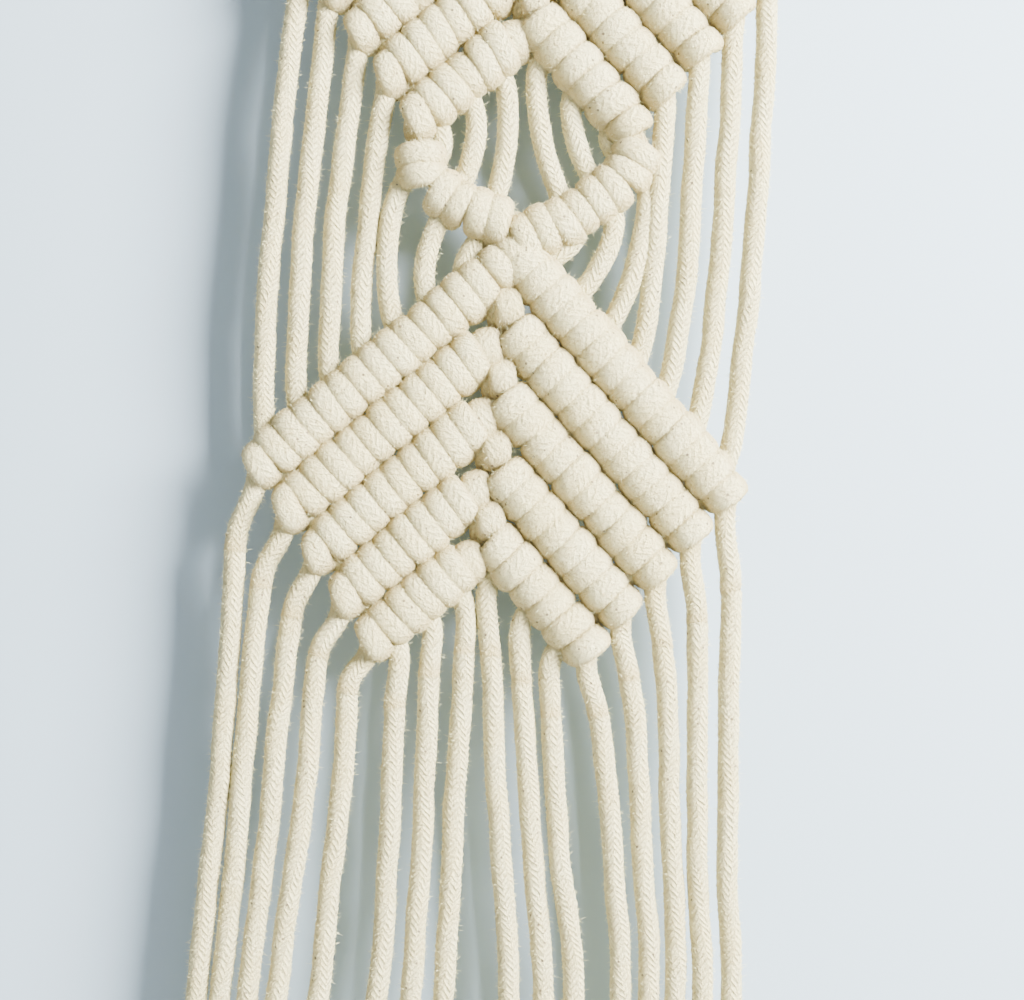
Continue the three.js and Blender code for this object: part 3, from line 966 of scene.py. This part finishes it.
class CordSettings(bpy.types.PropertyGroup):
    diameter: FloatProperty(
        name="Cord diameter", description="Thickness of the braided cord, in millimetres",
        default=5.0, min=3.0, max=8.0)
    colour: FloatVectorProperty(
        name="Cotton", description="Colour of the undyed cotton", subtype="COLOR",
        default=(0.98, 0.9, 0.5), min=0, max=1)
    braid_columns: IntProperty(
        name="Braid columns", description="Columns of strokes round the cord, an even number",
        default=8, min=4, max=16)
    braid_pitch: FloatProperty(
        name="Braid pitch", description="Length of one stroke along the cord, in millimetres",
        default=1.55, min=0.5, max=6.0)
    braid_depth: FloatProperty(
        name="Braid depth", description="Depth of the plaited relief, in millimetres",
        default=0.3, min=0, max=1)
    lumps: FloatProperty(
        name="Lumps", description="Unevenness of the yarn's surface, in millimetres",
        default=0.05, min=0, max=0.3)
    step: FloatProperty(
        name="Mesh step", description="Distance between rings of the cord's mesh, in millimetres",
        default=0.45, min=0.2, max=2)
    sides: IntProperty(
        name="Mesh sides", description="Vertices in one ring of the cord's mesh",
        default=22, min=12, max=48)
    fuzz_per_mm: FloatProperty(
        name="Fuzz", description="Loose fibres on each millimetre of cord", default=18.0, min=0, max=20)


class DowelSettings(bpy.types.PropertyGroup):
    colour: FloatVectorProperty(
        name="Wood", description="Colour of the dowel's wood", subtype="COLOR",
        default=(0.43, 0.27, 0.13), min=0, max=1)
    edge: FloatProperty(
        name="Edge", description="Rounding of the dowel's ends", unit="LENGTH",
        default=0.0012, min=0, max=0.005)


class StageSettings(bpy.types.PropertyGroup):
    wall_colour: FloatVectorProperty(
        name="Board", description="Colour of the board behind the hanging", subtype="COLOR",
        default=(0.385, 0.49, 0.57), min=0, max=1)
    wall_distance: FloatProperty(
        name="Board distance", description="From the dowel's axis to the board", unit="LENGTH",
        default=0.0137)
    lean: FloatProperty(
        name="Camera lean", description="How far the camera is rolled", subtype="ANGLE",
        unit="ROTATION", default=math.radians(4.8))
    view_width: FloatProperty(
        name="View width", description="Width of the hanging's plane that the camera takes in",
        unit="LENGTH", default=0.236)
    lens: FloatProperty(
        name="Lens", description="Focal length, in millimetres", default=60.0, min=20, max=200)


# --- operators


def dowel_rings(edge, sides=96):
    """Rings of vertices along the dowel, drawn in at its ends and slightly uneven between."""
    corner = np.radians(np.linspace(0, 90, 7))
    rise, inset = edge * (1 - np.cos(corner)), edge * (1 - np.sin(corner))
    shank = np.linspace(DOWEL_LOW[0] + edge, DOWEL_HIGH[0] - edge, 60)[1:-1]
    along = np.concatenate([DOWEL_LOW[0] + rise, shank, DOWEL_HIGH[0] - rise[::-1]])
    radius = DOWEL_RADIUS - np.concatenate([inset, np.zeros(len(shank)), inset[::-1]])
    radius = radius * (1 - 0.006 * (1 + np.sin(along * 0.11 + 0.6)) / 2)
    turn = 2 * math.pi * np.arange(sides) / sides
    ring = np.stack([np.zeros(sides), np.cos(turn), np.sin(turn)], 1)
    return along[:, None, None] * np.array([1.0, 0, 0]) + radius[:, None, None] * ring


def add_object(name, mesh, materials):
    """Puts a mesh in the scene with its materials."""
    piece = bpy.data.objects.new(name, mesh)
    bpy.context.scene.collection.objects.link(piece)
    for material in materials:
        mesh.materials.append(material)
    return piece


class HANGING_OT_camera(bpy.types.Operator):
    """Places the camera square to the board, leaning a little"""

    bl_idname = "hanging.camera"
    bl_label = "Place camera"

    def execute(self, context):
        stage = context.scene.hanging_stage
        camera = bpy.data.cameras.new("camera")
        camera.lens = stage.lens
        camera.clip_start = 0.01
        camera.clip_end = 20
        holder = bpy.data.objects.new("camera", camera)
        context.scene.collection.objects.link(holder)
        distance = stage.view_width * camera.lens / camera.sensor_width
        lean = Matrix.Rotation(stage.lean, 4, "Z")
        upright = Matrix.Rotation(math.radians(90), 4, "X")
        aim = Matrix.Translation((VIEW_CENTRE[0] * MM, -distance, VIEW_CENTRE[1] * MM))
        holder.matrix_world = aim @ upright @ lean
        context.scene.camera = holder
        return {"FINISHED"}


class HANGING_OT_fringe(bpy.types.Operator):
    """Hangs the free end of every strand below its last knot"""

    bl_idname = "hanging.fringe"
    bl_label = "Hang fringe"

    def execute(self, context):
        settings = context.scene.hanging_cord
        plan = HangingPlan(settings.diameter / 2)
        for place in range(STRAND_COUNT):
            line = fringe_line(plan, place)
            rng = np.random.default_rng(300 + place)
            name = f"fringe_strand_{place + 1}"
            mesh, surface = cord_mesh(name, line, settings, rng)
            cotton, fibre = cotton_materials(settings)
            piece = add_object(name, mesh, [cotton, fibre])
            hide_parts(f"fringe_{place + 1}")
            tuft_name = f"frayed_end_{place + 1}"
            tuft = add_object(tuft_name, frayed_mesh(tuft_name, surface, rng), [fibre])
            for part in (piece, tuft):
                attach(part, "panel")
        return {"FINISHED"}


class HANGING_OT_cords(bpy.types.Operator):
    """Ties the eight folded cords, from the dowel to the last knots"""

    bl_idname = "hanging.cords"
    bl_label = "Tie cords"

    def execute(self, context):
        settings = context.scene.hanging_cord
        plan = HangingPlan(settings.diameter / 2)
        for cord in range(CORD_COUNT):
            rng = np.random.default_rng(100 + cord)
            name = f"braided_cord_{cord + 1}"
            mesh, _ = cord_mesh(name, whole_cord(plan, cord), settings, rng)
            piece = add_object(name, mesh, cotton_materials(settings))
            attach(piece, "panel")
            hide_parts(f"cord_{cord + 1}")
        return {"FINISHED"}


class HANGING_OT_dowel(bpy.types.Operator):
    """Turns the wooden dowel with softened ends"""

    bl_idname = "hanging.dowel"
    bl_label = "Turn dowel"

    def execute(self, context):
        settings = context.scene.hanging_dowel
        rings = dowel_rings(settings.edge / MM)
        ends = np.array([[DOWEL_LOW[0], 0, 0], [DOWEL_HIGH[0], 0, 0]])
        vertices = np.concatenate([rings.reshape(-1, 3), ends]) * MM
        count, sides = rings.shape[:2]
        mesh = mesh_from("dowel_rod", vertices, tube_faces(count, sides), end_caps(count, sides))
        piece = add_object("dowel_rod", mesh, [wood_material(settings)])
        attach(piece, "rod")
        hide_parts("dowel")
        return {"FINISHED"}


def sheet(name, corners, material):
    """One flat sheet of the stage."""
    mesh = bpy.data.meshes.new(name)
    mesh.from_pydata(corners, [], [(0, 1, 2, 3)])
    add_object(name, mesh, [material])


def area_light(name, place, size, watts, colour):
    """A soft light that faces the hanging."""
    light = bpy.data.lights.new(name, "AREA")
    light.shape = "RECTANGLE"
    light.size, light.size_y = size
    light.energy = watts
    light.color = colour
    holder = bpy.data.objects.new(name, light)
    bpy.context.scene.collection.objects.link(holder)
    holder.location = place
    direction = Vector(LIT_POINT) - Vector(place)
    holder.rotation_euler = direction.to_track_quat("-Z", "Y").to_euler()


class HANGING_OT_stage(bpy.types.Operator):
    """Sets the board, the pale floor and the soft studio light"""

    bl_idname = "hanging.stage"
    bl_label = "Set stage"

    def execute(self, context):
        stage = context.scene.hanging_stage
        y, low = stage.wall_distance, FLOOR_HEIGHT
        wide, high = WALL_SIZE
        wall = [(-wide, y, low), (wide, y, low), (wide, y, high), (-wide, y, high)]
        sheet("board", wall, wall_material(stage))
        floor = [(-4, -4, low), (4, -4, low), (4, 4, low), (-4, 4, low)]
        sheet("floor", floor, floor_material())
        for light in LIGHTS:
            area_light(*light)
        world = bpy.data.worlds.new("soft_room")
        world.use_nodes = True
        background = world.node_tree.nodes["Background"].inputs
        background["Color"].default_value = (0.95, 0.97, 1.0, 1)
        background["Strength"].default_value = 0.5
        context.scene.world = world
        return {"FINISHED"}


class HANGING_PT_panel(bpy.types.Panel):
    """Sizes, colours and the steps that build the hanging"""

    bl_label = "Wall hanging"
    bl_idname = "HANGING_PT_panel"
    bl_space_type = "VIEW_3D"
    bl_region_type = "UI"
    bl_category = "Wall hanging"

    def draw(self, context):
        scene = context.scene
        for settings in (scene.hanging_cord, scene.hanging_dowel, scene.hanging_stage):
            box = self.layout.box()
            for name in settings.__annotations__:
                box.prop(settings, name)
        for operator in OPERATORS:
            self.layout.operator(operator.bl_idname)


SETTINGS = (
    ("hanging_cord", CordSettings), ("hanging_dowel", DowelSettings), ("hanging_stage", StageSettings),
)
OPERATORS = (HANGING_OT_camera, HANGING_OT_fringe, HANGING_OT_cords, HANGING_OT_dowel, HANGING_OT_stage)
CLASSES = tuple(group for _, group in SETTINGS) + OPERATORS + (HANGING_PT_panel,)


def register():
    for cls in CLASSES:
        bpy.utils.register_class(cls)
    for name, group in SETTINGS:
        setattr(bpy.types.Scene, name, PointerProperty(type=group))


def unregister():
    for name, _ in SETTINGS:
        delattr(bpy.types.Scene, name)
    for cls in reversed(CLASSES):
        bpy.utils.unregister_class(cls)


def main():
    register()
    bpy.ops.hanging.camera()
    bpy.ops.hanging.fringe()
    bpy.ops.hanging.cords()
    bpy.ops.hanging.dowel()
    bpy.ops.hanging.stage()


if __name__ == "__main__":
    main()
